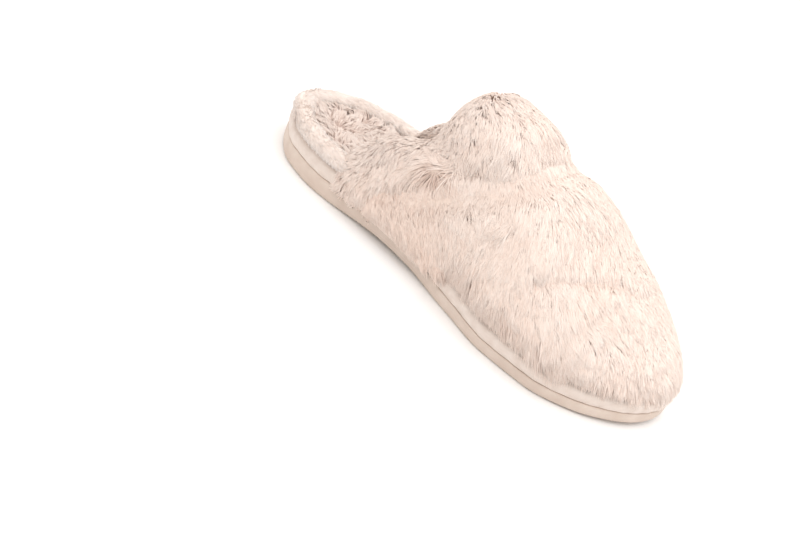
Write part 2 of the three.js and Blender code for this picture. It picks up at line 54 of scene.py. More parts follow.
# Sizes of the shoe in millimetres, as in the CAD source. +X heel to toe, +Y outer side, +Z up.
SOLE_LENGTH = 257
HEEL_WIDTH = 76
BALL_WIDTH = 108
TOE_SWING = 2
ARCH_LIFT = 2
TOE_SPRING = 2.5
OUTSOLE_HEEL = 10
OUTSOLE_TOE = 6.2
MIDSOLE_HEIGHT = 8.2
PLUSH_BULGE = 1
FOOTBED_HEIGHT = 3.4
HEEL_DISH = 1.4
RIM_WIDTH = 10.4
RIM_HEIGHT = 8
INSTEP_HEIGHT = 64
RIDGE_SWING = 5
HEM_INSET = 8
UPPER_WALL = 2.6
VAMP_PILE = 12
CUFF_PILE = 13
CUFF_REACH = 36
CUFF_BACK = 13
CUFF_INSIDE = 5
CUFF_TURN_IN = 16
FRINGE = 3
GAP = 0.3
HANG_DEPTH = HEM_INSET + PLUSH_BULGE + GAP + FRINGE

# Places along the sole, as shares of its length: arch, toe spring, swing of the toe, thinning outsole
ARCH_MIDDLE = 0.38
ARCH_HALF = 0.17
SPRING_START = 0.78
SWING_START = 0.55
OUTSOLE_SLOPE = (0.22, 0.72)

# Sole outline: place along the sole, blend from heel to ball width, half widths as shares of it
OUTLINE = np.array([
    # at, ball, outer, inner
    (0, 0, 0, 0),
    (0.03, 0, 0.23, 0.23),
    (0.1, 0, 0.42, 0.42),
    (0.2, 0, 0.5, 0.493),
    (0.32, 0.25, 0.47, 0.433),
    (0.45, 0.5, 0.471, 0.413),
    (0.58, 0.8, 0.497, 0.454),
    (0.7, 1, 0.508, 0.493),
    (0.8, 1, 0.488, 0.483),
    (0.89, 1, 0.384, 0.4),
    (0.95, 1, 0.255, 0.28),
    (0.985, 1, 0.135, 0.16),
    (1, 1, 0, 0),
])
# Ridge of the upper: place, height share, fur depth share, how far the fur hangs over the sole
RIDGE = np.array([
    (0, 1, 0.9, 1),
    (0.43, 1, 0.95, 1),
    (0.49, 0.98, 0.98, 0.75),
    (0.57, 0.902, 1, 0),
    (0.67, 0.745, 1, 0),
    (0.765, 0.525, 0.95, 0),
    (0.823, 0.4, 0.88, 0),
    (0.867, 0.325, 0.82, 0),
    (0.9, 0.26, 0.78, 0),
    (0.945, 0.165, 0.75, 0),
    (0.98, 0.085, 0.72, 0),
    (1, 0, 0.72, 0),
])
# Topline from the hem (0) to the ridge (1): place along the sole, body of the cuff, its front reach
TOPLINE = np.array([
    (0, 0.24, 0.72, 0.78),
    (0.08, 0.254, 0.82, 0.8),
    (0.19, 0.283, 0.88, 0.86),
    (0.31, 0.328, 0.82, 0.9),
    (0.44, 0.384, 0.58, 0.78),
    (0.58, 0.405, 0.86, 0.92),
    (0.78, 0.418, 1, 1),
    (1, 0.424, 1, 1),
])


def angle_at(share):
    return np.arccos(1 - 2 * np.clip(share, 0, 1))


def share_at(angle):
    return (1 - np.cos(angle)) / 2


def ease(value, low, high):
    t = np.clip((value - low) / (high - low), 0, 1)
    return t * t * (3 - 2 * t)


def lerp(a, b, t):
    return a + (b - a) * t


def unit(vectors):
    size = np.linalg.norm(vectors, axis=-1, keepdims=True)
    return vectors / np.maximum(size, 1e-9)


def smooth(places, values):
    """A smooth curve through a table's rows that never overshoots them."""
    rise = np.diff(values) / np.diff(places)
    before, after = rise[:-1], rise[1:]
    same = before * after > 0
    inner = np.where(same, 2 * before * after / np.where(same, before + after, 1), 0)
    slopes = np.concatenate([rise[:1], inner, rise[-1:]])

    def curve(place):
        k = np.clip(np.searchsorted(places, place, side="right") - 1, 0, len(places) - 2)
        step = places[k + 1] - places[k]
        t = np.clip((place - places[k]) / step, 0, 1)
        bend0 = slopes[k] * step
        bend1 = slopes[k + 1] * step
        drop = values[k] - values[k + 1]
        return values[k] + t * (bend0 + t * (-3 * drop - 2 * bend0 - bend1 + t * (2 * drop + bend0 + bend1)))

    return curve


local_width = lerp(HEEL_WIDTH, BALL_WIDTH, OUTLINE[:, 1])
outer_half = smooth(angle_at(OUTLINE[:, 0]), OUTLINE[:, 2] * local_width)
inner_half = smooth(angle_at(OUTLINE[:, 0]), OUTLINE[:, 3] * local_width)
ridge_height, ridge_pile, hang_at = (smooth(angle_at(RIDGE[:, 0]), RIDGE[:, k]) for k in (1, 2, 3))
topline_place, cuff_body, cuff_front = (smooth(TOPLINE[:, 0], TOPLINE[:, k]) for k in (1, 2, 3))


def sole_share(x):
    return np.clip(x / SOLE_LENGTH, 0, 1)


def bottom_at(x):
    arch = np.cos(np.clip((sole_share(x) - ARCH_MIDDLE) / ARCH_HALF, -1, 1) * np.pi / 2) ** 2
    spring = np.clip((sole_share(x) - SPRING_START) / (1 - SPRING_START), 0, 1) ** 2
    return ARCH_LIFT * arch + TOE_SPRING * spring


def outsole_top(x):
    return bottom_at(x) + lerp(OUTSOLE_HEEL, OUTSOLE_TOE, ease(sole_share(x), *OUTSOLE_SLOPE))


def platform_at(x):
    return outsole_top(x) + GAP + MIDSOLE_HEIGHT


def seat_at(x):
    return platform_at(x) + GAP


def edge_point(angle, side):
    half = np.where(side > 0, outer_half(angle), inner_half(angle))
    swing = TOE_SWING * np.clip((share_at(angle) - SWING_START) / (1 - SWING_START), 0, 1) ** 2
    return np.stack([SOLE_LENGTH * share_at(angle), side * half - swing], axis=-1)


def inset_point(angle, side, inset):
    angle, side, inset = np.broadcast_arrays(angle * 1.0, side * 1.0, inset * 1.0)
    step = 0.004
    along = edge_point(np.minimum(angle + step, np.pi), side) - edge_point(np.maximum(angle - step, 0), side)
    outward = unit(np.stack([-side * along[..., 1], side * along[..., 0]], axis=-1))
    outward = np.where((angle <= 0)[..., None], np.array([-1.0, 0]), outward)
    outward = np.where((angle >= np.pi)[..., None], np.array([1.0, 0]), outward)
    return edge_point(angle, side) - outward * inset[..., None]


def arch_point(angle, turn):
    """The upper's outer face over a flat platform, from the outer hem (0) to the inner hem (1)."""
    outer = inset_point(angle, np.array(1), np.array(HEM_INSET))
    inner = inset_point(angle, np.array(-1), np.array(HEM_INSET))
    across = (np.cos(np.pi * turn) + 1) / 2
    rise = np.sin(np.pi * turn)
    height = ridge_height(angle)
    x = lerp(inner[..., 0], outer[..., 0], across)
    y = lerp(inner[..., 1], outer[..., 1], across) - RIDGE_SWING * rise ** 2 * height
    return np.stack([x, y, INSTEP_HEIGHT * height * rise], axis=-1)


def shell_normal(angle, turn):
    step = 0.01
    low = np.minimum(angle, np.pi - 0.03)
    along = arch_point(low + step, turn) - arch_point(low - step, turn)
    across = arch_point(low, np.clip(turn + step, 0, 1)) - arch_point(low, np.clip(turn - step, 0, 1))
    normal = np.cross(across, along)
    normal[..., 2] = np.where((turn <= 0) | (turn >= 1), 0, normal[..., 2])
    normal = unit(normal)
    return np.where((angle >= np.pi - 1e-6)[..., None], np.array([1.0, 0, 0]), normal)


def off_shell(angle, turn, offset):
    angle, turn, offset = np.broadcast_arrays(angle * 1.0, turn * 1.0, offset * 1.0)
    point = arch_point(angle, turn) + shell_normal(angle, turn) * offset[..., None]
    point[..., 2] += seat_at(point[..., 0])
    return point


def from_hem(turn):
    return 1 - np.abs(1 - 2 * turn)


def topline_x(turn):
    return SOLE_LENGTH * topline_place(from_hem(turn))


def cuff_front_x(turn):
    return topline_x(turn) + CUFF_REACH * cuff_front(from_hem(turn))


# The vamp's pile, as shares of its full depth: under the cuff's edge, at the hem and at the toe; and
# how far from each it is full again, in millimetres, turns and radians
NECK_PILE = 0.62
HEM_PILE = 0.55
TOE_PILE = 0.9
NECK_LENGTH = 16
HEM_RISE = 0.22
TOE_ANGLE = 0.5


def vamp_pile(angle, turn):
    full = VAMP_PILE * ridge_pile(angle)
    toe = ease(angle, np.pi - TOE_ANGLE, np.pi)
    behind = SOLE_LENGTH * share_at(angle) - cuff_front_x(turn)
    neck = lerp(NECK_PILE, 1, ease(behind, 0, NECK_LENGTH))
    hem = lerp(lerp(HEM_PILE, TOE_PILE, toe) * full, HANG_DEPTH, hang_at(angle))
    body = lerp(full * neck, TOE_PILE * full, toe)
    return lerp(hem, body, ease(from_hem(turn), 0, HEM_RISE))


# The part's frame meets the row's frame at the outsole's lowest corner
edge_angles = np.linspace(0, np.pi, 400)
low_corner = np.array([0, edge_point(edge_angles, np.array(-1.0))[:, 1].min(), 0])
SHIFT = 1000 * np.array(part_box("outsole")[0]) - low_corner
SHIFT[2] = 0


def to_row(points):
    return (points + SHIFT) / 1000


def linear(code):
    """A display colour as hexadecimal text, in linear light."""
    value = np.array([int(code[i:i + 2], 16) / 255 for i in (0, 2, 4)])
    value = np.where(value <= 0.04045, value / 12.92, ((value + 0.055) / 1.055) ** 2.4)
    return (*value, 1)


# Soft matte surfaces: reflection, spread of the sheen, and how much broader mottling is than bumps
SPECULAR = 0.2
SHEEN_ROUGHNESS = 0.6
MOTTLE_SIZE = 8
MOTTLE_DETAIL = 4
MOTTLE_RANGE = (0.3, 0.7)
BUMP_DETAIL = 3


def new_material(name, roughness, sheen=0.0):
    made = bpy.data.materials.new(name)
    made.use_nodes = True
    shader = made.node_tree.nodes["Principled BSDF"]
    shader.inputs["Roughness"].default_value = roughness
    shader.inputs["Specular IOR Level"].default_value = SPECULAR
    shader.inputs["Sheen Weight"].default_value = sheen
    shader.inputs["Sheen Roughness"].default_value = SHEEN_ROUGHNESS
    return made, made.node_tree, shader


def ramp_node(tree, stops):
    node = tree.nodes.new("ShaderNodeValToRGB")
    ramp = node.color_ramp
    while len(ramp.elements) < len(stops):
        ramp.elements.new(0.5)
    for element, (place, code) in zip(ramp.elements, stops):
        element.position = place
        element.color = linear(code)
    return node


def strand_material(name, dark, light):
    """Fur: the colour runs from root to tip (v) and between a darker and a lighter tone (u)."""
    made, tree, shader = new_material(name, 0.85)
    uv = tree.nodes.new("ShaderNodeUVMap")
    uv.uv_map = "OFBake"
    split = tree.nodes.new("ShaderNodeSeparateXYZ")
    tree.links.new(uv.outputs["UV"], split.inputs["Vector"])
    mix = tree.nodes.new("ShaderNodeMix")
    mix.data_type = "RGBA"
    tree.links.new(split.outputs["X"], mix.inputs["Factor"])
    for stops, socket in ((dark, "A"), (light, "B")):
        ramp = ramp_node(tree, stops)
        tree.links.new(split.outputs["Y"], ramp.inputs["Fac"])
        target = next(s for s in mix.inputs if s.name == socket and s.type == "RGBA")
        tree.links.new(ramp.outputs["Color"], target)
    result = next(s for s in mix.outputs if s.type == "RGBA")
    tree.links.new(result, shader.inputs["Base Color"])
    return made


def cloth_material(name, codes, scale, bump, roughness, sheen, distance=0.0006):
    """A matte material with fine mottling and a fine soft bump, both in object space."""
    made, tree, shader = new_material(name, roughness, sheen)
    place = tree.nodes.new("ShaderNodeTexCoord")
    broad = tree.nodes.new("ShaderNodeTexNoise")
    broad.inputs["Scale"].default_value = scale / MOTTLE_SIZE
    broad.inputs["Detail"].default_value = MOTTLE_DETAIL
    fine = tree.nodes.new("ShaderNodeTexNoise")
    fine.inputs["Scale"].default_value = scale
    fine.inputs["Detail"].default_value = BUMP_DETAIL
    for node in (broad, fine):
        tree.links.new(place.outputs["Object"], node.inputs["Vector"])
    ramp = ramp_node(tree, list(zip(MOTTLE_RANGE, codes)))
    tree.links.new(broad.outputs["Fac"], ramp.inputs["Fac"])
    tree.links.new(ramp.outputs["Color"], shader.inputs["Base Color"])
    node = tree.nodes.new("ShaderNodeBump")
    node.inputs["Strength"].default_value = bump
    node.inputs["Distance"].default_value = distance
    tree.links.new(fine.outputs["Fac"], node.inputs["Height"])
    tree.links.new(node.outputs["Normal"], shader.inputs["Normal"])
    return made


fur_material = strand_material(
    "fur_strands",
    [(0, "EDD6CA"), (0.4, "EED6C8"), (0.8, "F5E2D6"), (1, "F7E7DC")],
    [(0, "F3E2D8"), (0.4, "F7E6DB"), (0.8, "FCF0E8"), (1, "FEF7F2")],
)
footbed_material = strand_material(
    "footbed_strands",
    [(0, "D2B4A7"), (0.4, "E2CBBF"), (0.8, "EEDDD2"), (1, "F3E5DC")],
    [(0, "DFC6BA"), (0.4, "EFDED4"), (0.8, "F7ECE4"), (1, "FBF3ED")],
)
plush_material = strand_material(
    "plush_strands",
    [(0, "F3E2D8"), (0.5, "F9EBE2"), (1, "FBF0E9")],
    [(0, "F8EAE1"), (0.5, "FDF4EE"), (1, "FFF9F5")],
)
# The cloth under the fur takes the fur's darker tone, so that cloth seen between strands reads as the fur's
# shade: painted shade
under_fur_painted_shade = cloth_material("under_fur_painted_shade", ("E0CABC", "EAD8CC"), 700, 0.3, 0.95, 0.2)
under_plush = cloth_material("plush_cloth", ("D6C6BB", "E2D5CC"), 1500, 0.3, 0.9, 0.2, 0.0003)
rim_cloth = cloth_material("rim_cloth", ("EFE0D6", "F7EBE3"), 1300, 0.35, 0.95, 0.2, 0.0004)
foam_material = cloth_material("outsole_foam", ("D1BFB2", "DBCBBF"), 900, 0.12, 0.62, 0.0, 0.0003)
lining_material = cloth_material("lining_cloth", ("C9AF9F", "DDC9BC"), 900, 0.4, 0.95, 0.2)


def add_mesh(name, points, corners, material, uv=None, normals=None):
    """A mesh object from arrays: points in the part's millimetres and faces of equal size."""
    mesh = bpy.data.meshes.new(name)
    count, size = corners.shape
    mesh.vertices.add(len(points))
    mesh.vertices.foreach_set("co", to_row(points).astype(np.float32).ravel())
    mesh.loops.add(corners.size)
    mesh.loops.foreach_set("vertex_index", corners.astype(np.int32).ravel())
    mesh.polygons.add(count)
    mesh.polygons.foreach_set("loop_start", np.arange(0, corners.size, size, dtype=np.int32))
    mesh.polygons.foreach_set("use_smooth", np.ones(count, dtype=bool))
    mesh.update(calc_edges=True)
    if uv is not None:
        layer = mesh.uv_layers.new(name="OFBake")
        layer.uv.foreach_set("vector", uv[corners.ravel()].astype(np.float32).ravel())
    if normals is not None:
        mesh.normals_split_custom_set_from_vertices(normals.astype(np.float32))
    mesh.materials.append(material)
    piece = bpy.data.objects.new(name, mesh)
    bpy.context.scene.collection.objects.link(piece)
    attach(piece, "root")
    return piece


def grid_corners(rows, columns, flip=False):
    index = np.arange(rows * columns).reshape(rows, columns)
    cells = [index[:-1, :-1], index[1:, :-1], index[1:, 1:], index[:-1, 1:]]
    quads = np.stack(cells, axis=-1).reshape(-1, 4)
    return quads[:, ::-1] if flip else quads


# Corners closer than this are one, and edges shorter than this are nothing, in metres
CORNER_GAP = 2e-6
EMPTY_EDGE = 1e-7


def weld(piece):
    """Joins the corners that meet and drops empty faces, then turns all faces outward."""
    work = bmesh.new()
    work.from_mesh(piece.data)
    bmesh.ops.remove_doubles(work, verts=work.verts, dist=CORNER_GAP)
    bmesh.ops.dissolve_degenerate(work, edges=work.edges, dist=EMPTY_EDGE)
    bmesh.ops.recalc_face_normals(work, faces=work.faces)
    for face in work.faces:
        face.smooth = True
    work.to_mesh(piece.data)
    work.free()
    return piece


def outward_normals(grid, row, column):
    """Normals of a grid's surface, turned so that the one at the given place points up."""
    along = np.gradient(grid, axis=0)
    across = np.gradient(grid, axis=1)
    normals = unit(np.cross(along, across))
    return -normals if normals[row, column, 2] < 0 else normals


# A random field: how many sines it adds, how their sizes spread, and what brings the sum near 1
SINES = 7
SINE_SPREAD = (0.7, 1.5)
SINE_SUM = 3.2


def wave(points, size, seed):
    """A smooth random field over points: a sum of sines with random directions, about -1 to 1."""
    rng = np.random.default_rng(seed)
    total = np.zeros(points.shape[:-1])
    for _ in range(SINES):
        direction = rng.normal(size=3)
        direction *= 2 * np.pi / (size * rng.uniform(*SINE_SPREAD)) / np.linalg.norm(direction)
        total += np.sin(points @ direction + rng.uniform(0, 2 * np.pi))
    return total / SINE_SUM


def pick(grid, row, column):
    """Values of a grid at fractional places."""
    i = np.clip(row.astype(int), 0, grid.shape[0] - 2)
    j = np.clip(column.astype(int), 0, grid.shape[1] - 2)
    u = row - i
    v = column - j
    if grid.ndim == 3:
        u = u[:, None]
        v = v[:, None]
    low = lerp(grid[i, j], grid[i + 1, j], u)
    return lerp(low, lerp(grid[i, j + 1], grid[i + 1, j + 1], u), v)


def scatter(base, density, count, rng):
    """Fractional places over a grid, evenly by area times density."""
    a = base[1:, :-1] - base[:-1, :-1]
    b = base[:-1, 1:] - base[:-1, :-1]
    c = base[1:, 1:] - base[1:, :-1]
    d = base[1:, 1:] - base[:-1, 1:]
    area = np.linalg.norm(np.cross(a, b), axis=-1) + np.linalg.norm(np.cross(c, d), axis=-1)
    chance = (area * density[:-1, :-1]).ravel()
    total = np.cumsum(chance)
    cell = np.searchsorted(total, rng.uniform(0, total[-1], count))
    cell = np.minimum(cell, len(chance) - 1)
    columns = base.shape[1] - 1
    return cell // columns + rng.uniform(0, 1, count), cell % columns + rng.uniform(0, 1, count)


# Widths along a strand, by its number of rings before the tip
TAPER = {1: (1,), 2: (0.8, 1)}


def nearest(centres, points):
    tree = kdtree.KDTree(len(centres))
    for k, centre in enumerate(centres):
        tree.insert(centre, k)
    tree.balance()
    return np.array([tree.find(point)[1] for point in points])


def turned(vectors, axis, angle):
    """Vectors turned about unit axes at right angles to them."""
    return vectors * np.cos(angle)[:, None] + np.cross(axis, vectors) * np.sin(angle)[:, None]


# Random spread of the strands: turns in radians, reaches as shares of the length, lifts as shares of
# the depth, each for a lock, for a clump or for a strand alone
LOOSE_TURN = 0.13
CLUMP_REACH = (0.78, 1.15)
LOOSE_REACH = (-0.25, 0.12)
LOCK_LIFT = 0.05
CLUMP_LIFT = 0.04
LOOSE_LIFT = 0.06
LIFT_SHARE = 0.8
# How high a strand stands in the pile's depth: as a rule, at least and at most
STAND = 0.94
STAND_LOW = 0.45
STAND_HIGH = 1.2
# How far tips are drawn to their clump's leader, and how the pull grows along a strand
PULL_SPREAD = (0.55, 1.0)
PULL_POWER = 1.2
# How far a strand starts below its base, and how far a stray tip stands off, in millimetres
ROOT_SINK = 0.4
STRAY_LIFT = (0.3, 2.0)
STRAY_WIDTH = 0.55
WIDTH_SPREAD = (0.75, 1.25)
# A strand's section: crest over width, tilt of its sides and roll in radians
CREST = 0.28
SIDE_JITTER = 0.05
ROLL = 0.5
# How far a strand's shading turns from the skin's normal: to its face, at random and to its sides
FACE_TURN = 0.15
NORMAL_JITTER = 0.07
SIDE_TURN = 0.2
# Spread of the tone: painted light and shade by how high a clump and a lock stand, a random spread by
# strand, and the part of the ramps in use
CLUMP_SHADE = 0.08
LOCK_SHADE = 0.06
STRAND_SHADE = 0.09
RAMP_RANGE = (0.02, 0.98)


def grow(coat, name, material, pieces=1):
    """Mesh fur on a surface. The coat gives grids: base, depth, normal, lay, length, density, tone
    and curve, and numbers: count, seed, width, spacing of clumps and locks, their turns, pull and
    stray share. Its joints are shares of the length and of the depth, and no tip goes below its
    floor."""
    rng = np.random.default_rng(coat["seed"])
    base = coat["base"]
    normal_grid = coat["normal"]
    count = coat["count"]
    row, column = scatter(base, coat["density"], count, rng)
    root = pick(base, row, column)
    normal = unit(pick(normal_grid, row, column))
    depth = pick(coat["depth"], row, column)
    lay = pick(coat["lay"], row, column)
    length = pick(coat["length"], row, column)
    tone = pick(coat["tone"], row, column)
    curve = pick(coat["curve"] * np.ones(base.shape[:2]), row, column)

    lock_count = max(8, int(count * coat["clump"] ** 2 / coat["lock"] ** 2 / coat["per_clump"]))
    clump_count = max(20, int(count / coat["per_clump"]))
    lock_places = root[rng.choice(count, lock_count, replace=False)]
    clump_ids = rng.choice(count, clump_count, replace=False)
    lock = nearest(lock_places, root)
    clump = nearest(root[clump_ids], root)
    lock_turn = rng.normal(0, coat["lock_turn"], lock_count)
    lock_lift = rng.normal(0, 1, lock_count)
    clump_turn = rng.normal(0, coat["clump_turn"], clump_count)
    clump_lift = rng.normal(0, 1, clump_count)
    clump_length = rng.uniform(*CLUMP_REACH, clump_count)

    def path(ids, loose):
        turn = lock_turn[lock[ids]] + clump_turn[clump[ids]]
        turn = turn + loose * rng.normal(0, LOOSE_TURN, len(ids))
        n = normal[ids]
        flat = unit(lay[ids] - n * np.sum(lay[ids] * n, axis=1, keepdims=True))
        flat = turned(flat, n, turn)
        spread = 1 + loose * rng.uniform(*LOOSE_REACH, len(ids))
        reach = length[ids] * clump_length[clump[ids]] * spread
        lift = LOCK_LIFT * lock_lift[lock[ids]] + CLUMP_LIFT * clump_lift[clump[ids]]
        lift = lift + loose * rng.normal(0, LOOSE_LIFT, len(ids))
        height = depth[ids] * np.clip(STAND + LIFT_SHARE * lift, STAND_LOW, STAND_HIGH)
        points = []
        for along, up in coat["joints"]:
            drop = curve[ids] * (along * reach) ** 2 / 2
            points.append(root[ids] + flat * (along * reach)[:, None] + n * (up * height - drop)[:, None])
        return np.stack(points, axis=1), flat

    ids = np.arange(count)
    points, flat = path(ids, 1.0)
    lead_points, _ = path(clump_ids, 0.0)
    pull = coat["pull"] * rng.uniform(*PULL_SPREAD, count)
    strength = np.linspace(0, 1, points.shape[1]) ** PULL_POWER
    share = pull[:, None] * strength[None, :]
    points = lerp(points, lead_points[clump], share[..., None])
    points[:, 0] = root - ROOT_SINK * normal
    stray = rng.uniform(0, 1, count) < coat["stray"]
    points[stray, -1] += normal[stray] * rng.uniform(*STRAY_LIFT, stray.sum())[:, None]
    points[:, -1, 2] = np.maximum(points[:, -1, 2], coat["floor"](points[:, -1]))

    rings = points.shape[1] - 1
    width = coat["width"] * rng.uniform(*WIDTH_SPREAD, count) * np.where(stray, STRAY_WIDTH, 1)
    taper = np.array(TAPER[rings])
    lean = unit(points[:, -1] - points[:, 0])
    side = unit(np.cross(lean, normal + SIDE_JITTER * rng.normal(size=(count, 3))))
    face = unit(np.cross(side, lean))
    roll = rng.uniform(-ROLL, ROLL, count)[:, None]
    side, face = side * np.cos(roll) + face * np.sin(roll), face * np.cos(roll) - side * np.sin(roll)
    scale = (width[:, None] * taper[None, :])[..., None]
    half = side[:, None, :] * scale / 2
    crest = face[:, None, :] * scale * CREST
    centre = points[:, :-1]
    ring = np.stack([centre - half - crest / 2, centre + crest, centre + half - crest / 2], axis=2)
    vertices = np.concatenate([ring.reshape(count, -1, 3), points[:, -1:]], axis=1)
    per = vertices.shape[1]
    triangles = []
    for k in range(rings - 1):
        a = 3 * k
        for left in (a, a + 1):
            triangles += [(left, left + 1, left + 4), (left, left + 4, left + 3)]
    triangles += [(per - 4, per - 3, per - 1), (per - 3, per - 2, per - 1)]
    triangles = np.array(triangles)

    soft = unit(normal + FACE_TURN * face + NORMAL_JITTER * rng.normal(size=(count, 3)))
    soft_normals = np.empty_like(vertices)
    soft_normals[:, 0:-1:3] = unit(soft - SIDE_TURN * side)[:, None]
    soft_normals[:, 1:-1:3] = soft[:, None]
    soft_normals[:, 2:-1:3] = unit(soft + SIDE_TURN * side)[:, None]
    soft_normals[:, -1] = soft

    # Clumps and locks that stand higher are painted lighter and lower ones darker: painted light and shade;
    # each strand adds a random spread
    shade = tone + CLUMP_SHADE * clump_lift[clump] + LOCK_SHADE * lock_lift[lock]
    shade = np.clip(shade + rng.normal(0, STRAND_SHADE, count), *RAMP_RANGE)
    along = np.linspace(0, 1, rings + 1)
    v = np.concatenate([np.repeat(along[:-1], 3), along[-1:]])
    uv = np.stack([np.repeat(shade[:, None], per, axis=1), np.repeat(v[None], count, axis=0)], axis=-1)
    uv[..., 1] = np.clip(uv[..., 1], *RAMP_RANGE)

    made = []
    for part, members in enumerate(np.array_split(np.argsort(root[:, 0], kind="stable"), pieces)):
        offsets = (np.arange(len(members)) * per)[:, None, None]
        corners = (triangles[None] + offsets).reshape(-1, 3)
        label = name if pieces == 1 else f"{name}_{part + 1}"
        made.append(add_mesh(
            label,
            vertices[members].reshape(-1, 3),
            corners,
            material,
            uv[members].reshape(-1, 2),
            soft_normals[members].reshape(-1, 3),
        ))
    return made


LAYER_STEPS = 121
CAP_STEPS = 9


def layer_piece(name, edge, inset, low_at, high_at, material, crown=None, ripple=None):
    """A layer with the sole's outline. Edge rows are (share of height, inset from the outline)."""
    angles = np.linspace(0, np.pi, LAYER_STEPS)
    loops = {}
    for side in (1, -1):
        rows = []
        for up, row_inset in edge:
            point = inset_point(angles, np.array(side), np.array(inset + row_inset))
            if ripple:
                point = inset_point(angles, np.array(side), inset + row_inset + ripple(angles, side, up))
            z = lerp(low_at(point[:, 0]), high_at(point[:, 0]), up)
            rows.append(np.column_stack([point, z]))
        loops[side] = np.array(rows)
    parts = [loops[1], loops[-1]]
    for k, lift in ((0, None), (-1, crown)):
        across = np.linspace(0, 1, CAP_STEPS)[None, :, None]
        cap = lerp(loops[1][k][:, None, :], loops[-1][k][:, None, :], across)
        if lift is not None:
            cap[..., 2] += lift(angles[:, None], 1 - np.abs(1 - 2 * across[..., 0]))
        parts.append(cap)
    points = []
    corners = []
    start = 0
    for part in parts:
        points.append(part.reshape(-1, 3))
        corners.append(grid_corners(part.shape[0], part.shape[1]) + start)
        start += part.shape[0] * part.shape[1]
    return weld(add_mesh(name, np.concatenate(points), np.concatenate(corners), material))


def rounded(rows, steps=18):
    """A denser, smooth version of an edge table."""
    rows = np.array(rows, dtype=float)
    run = np.concatenate([[0], np.cumsum(np.linalg.norm(np.diff(rows, axis=0), axis=1))])
    places = np.linspace(0, run[-1], steps)
    columns = (smooth(run, rows[:, k])(places) for k in (0, 1))
    return [(float(up), float(inset)) for up, inset in zip(*columns)]


# Edges of the layers from below: share of the height, inset from the outline
OUTSOLE_EDGE = rounded([(0, 1.6), (0.05, 0.8), (0.2, 0.26), (0.5, 0), (0.88, 0), (0.97, 0.25), (1, 0.9)])
MIDSOLE_EDGE = rounded([
    (0, 1.6), (0.04, 0.6), (0.22, 0), (0.5, -0.44), (0.7, -0.1), (0.86, 0.88), (1, 2.86),
])
FOOTBED_EDGE = rounded([(0, 0), (0.55, 0), (0.85, 0.6), (1, 2)], 8)


# The band's puckers: how deep and how many, fine ones from the stitches and broad ones of the cloth
FINE_PUCKER = 0.16
FINE_PUCKERS = 61
BROAD_PUCKER = 0.12
BROAD_PUCKERS = 17


def pucker(angles, side, up):
    """The plush band is drawn in a little by its stitches underneath."""
    fine = FINE_PUCKER * np.sin(FINE_PUCKERS * angles + side) * (1 - up) ** 2
    return fine + BROAD_PUCKER * np.sin(BROAD_PUCKERS * angles - 2 * side)


def wrap_bottom(x):
    return outsole_top(x) + GAP / 2


outsole = layer_piece(
    "outsole_foam_sole", OUTSOLE_EDGE, 0, bottom_at, outsole_top, foam_material)
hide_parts("outsole")
midsole = layer_piece(
    "midsole_plush_wrap", MIDSOLE_EDGE, -PLUSH_BULGE / 2, wrap_bottom, platform_at, under_plush,
    ripple=pucker)
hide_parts("midsole")


# Share of the footbed's height that its pad takes; its short fur takes the rest
PAD_SHARE = 0.6
# The heel's dish, by shares of the sole's length: where it begins, and where it eases by how much
DISH_START = (0.02, 0.1)
DISH_EASE = (0.25, 0.5)
DISH_EASED = 0.7


def pad_top(x):
    return seat_at(x) + PAD_SHARE * FOOTBED_HEIGHT


def dish(angle, middle):
    """How far the heel has pressed the pad down."""
    share = share_at(angle)
    fall = ease(share, *DISH_START) * (1 - DISH_EASED * ease(share, *DISH_EASE))
    return -HEEL_DISH * np.sin(middle * np.pi / 2) * fall


footbed_inset = HEM_INSET + UPPER_WALL + 2 * GAP
footbed = layer_piece(
    "footbed_pad", FOOTBED_EDGE, footbed_inset, seat_at, pad_top, under_fur_painted_shade, crown=dish)
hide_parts("footbed")

# Section of the heel's roll, as shares of its width and height: inward from the edge, up
RIM_SECTION = np.array([
    (0.08, 0), (-0.1, 0.24), (-0.13, 0.52), (-0.02, 0.82), (0.28, 0.99), (0.62, 0.96), (0.88, 0.72),
    (0.97, 0.34), (0.985, 0),
])
RIM_POINTS = 22
RIM_STEPS = 121
# How far the roll's ends run on under the cuff, in radians of the outline, and the part of the roll's
# thickness that its cloth takes
RIM_UNDER_CUFF = 0.11
RIM_CLOTH_SHARE = 0.94
# The roll's middle as a share of its width, its lower height at the back and how far round that
# goes, its slight lumps, and a place on its crown
RIM_MIDDLE = 0.45
RIM_BACK = 0.86
RIM_BACK_END = 0.6
RIM_LUMP = 0.02
RIM_LUMPS = 27
RIM_CROWN = (60, 11)
rim_run = np.concatenate([[0], np.cumsum(np.linalg.norm(np.diff(RIM_SECTION, axis=0), axis=1))])
rim_places = np.linspace(0, rim_run[-1], RIM_POINTS)
rim_inward = smooth(rim_run, RIM_SECTION[:, 0])(rim_places)
rim_up = smooth(rim_run, RIM_SECTION[:, 1])(rim_places)
cuff_back_edge = topline_x(np.array(0.0)) - CUFF_BACK * cuff_body(np.array(0.0))
rim_end = angle_at(cuff_back_edge / SOLE_LENGTH) + RIM_UNDER_CUFF
rim_turn = np.linspace(-1, 1, RIM_STEPS)
rim_angle = rim_end * np.abs(rim_turn)
rim_side = np.where(rim_turn < 0, -1, 1)


def rim_grid(scale):
    """The rim's skin; scale draws its section in towards the roll's own middle."""
    inward = lerp(RIM_MIDDLE, rim_inward, scale)
    up = rim_up * scale
    swell = lerp(RIM_BACK, 1, ease(np.abs(rim_turn), 0, RIM_BACK_END))
    swell = swell * (1 + RIM_LUMP * np.sin(RIM_LUMPS * rim_turn))
    point = inset_point(rim_angle[:, None], rim_side[:, None], inward[None, :] * RIM_WIDTH)
    z = seat_at(point[..., 0]) + up[None, :] * RIM_HEIGHT * swell[:, None]
    return np.concatenate([point, z[..., None]], axis=-1)


